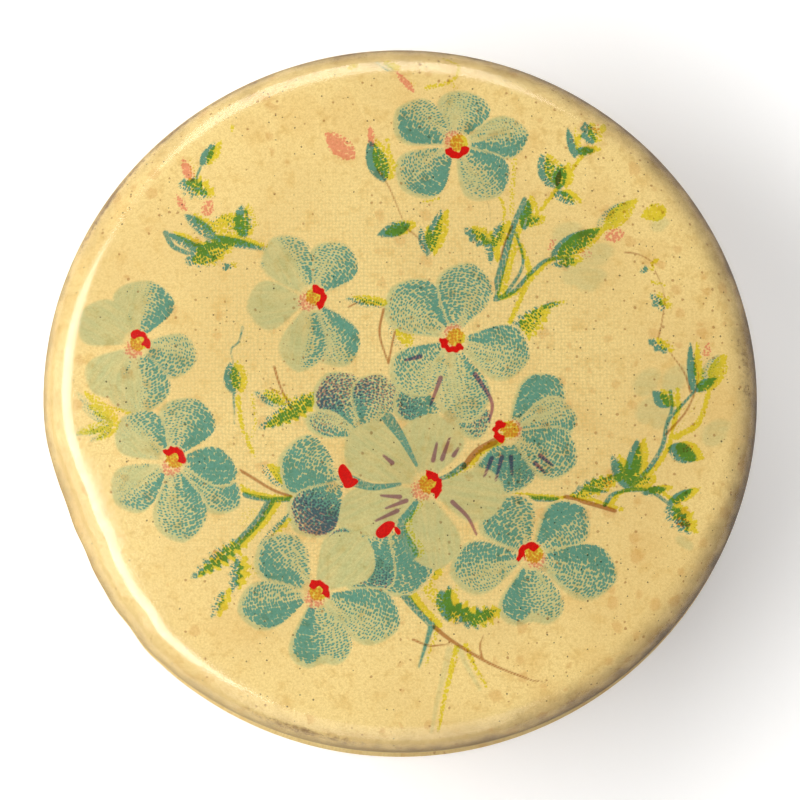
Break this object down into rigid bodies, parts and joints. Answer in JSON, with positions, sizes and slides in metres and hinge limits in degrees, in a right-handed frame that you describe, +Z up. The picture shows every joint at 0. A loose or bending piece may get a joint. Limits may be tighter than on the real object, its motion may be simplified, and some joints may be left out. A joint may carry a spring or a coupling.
{
  "type": "talcum powder tin",
  "caption": "Shallow round pocket talc tin with a celluloid-covered floral slip lid over a turning sifter top.",
  "frame": {"origin": "middle of the foot, on the plane the tin stands on", "axes": "+Z up through the lid, +Y towards the back, where the side seam is; the picture on the lid stands upright towards +Y"},
  "size_m": [0.0572, 0.0572, 0.0237],
  "materials": {
    "celluloid": "clear yellowed film, glossy",
    "printed_paper": "printed, aged",
    "bare_tinplate": "satin tinplate, dull with age",
    "liner_card": "grey-brown board",
    "gilt_tin": "gold-lacquered tinplate, worn",
    "solder": "dull grey",
    "sifter_tin": "satin tinplate",
    "shutter_tin": "gold-lacquered tinplate, rubbed by turning",
    "rivet_brass": "polished by use",
    "washer_steel": "satin",
    "talc": "loose powder, matt"
  },
  "bodies": {
    "tin": {"body_wall": "gilt_tin", "side_seam_solder": "solder", "body_bottom": "gilt_tin", "neck_ring": "bare_tinplate", "sifter_plate": "sifter_tin", "sifter_rivet": "rivet_brass", "rivet_washer": "washer_steel", "stop_pin": "washer_steel", "talc_fill": "talc"},
    "lid": {"celluloid_cover": "celluloid", "printed_paper": "printed_paper", "lid_shell": "bare_tinplate", "lid_liner": "liner_card", "lid_collet": "gilt_tin"},
    "shutter": {"sifter_shutter": "shutter_tin"}
  },
  "joints": [
    {"name": "lid_lift", "type": "slide", "parent": "tin", "child": "lid", "axis": [0, 0, 1], "range_m": [0, 0.04]},
    {"name": "shutter_turn", "type": "hinge", "parent": "tin", "child": "shutter", "pos_m": [0, 0, 0.0129], "axis": [0, 0, 1], "range_deg": [0, 22.5]}
  ]
}
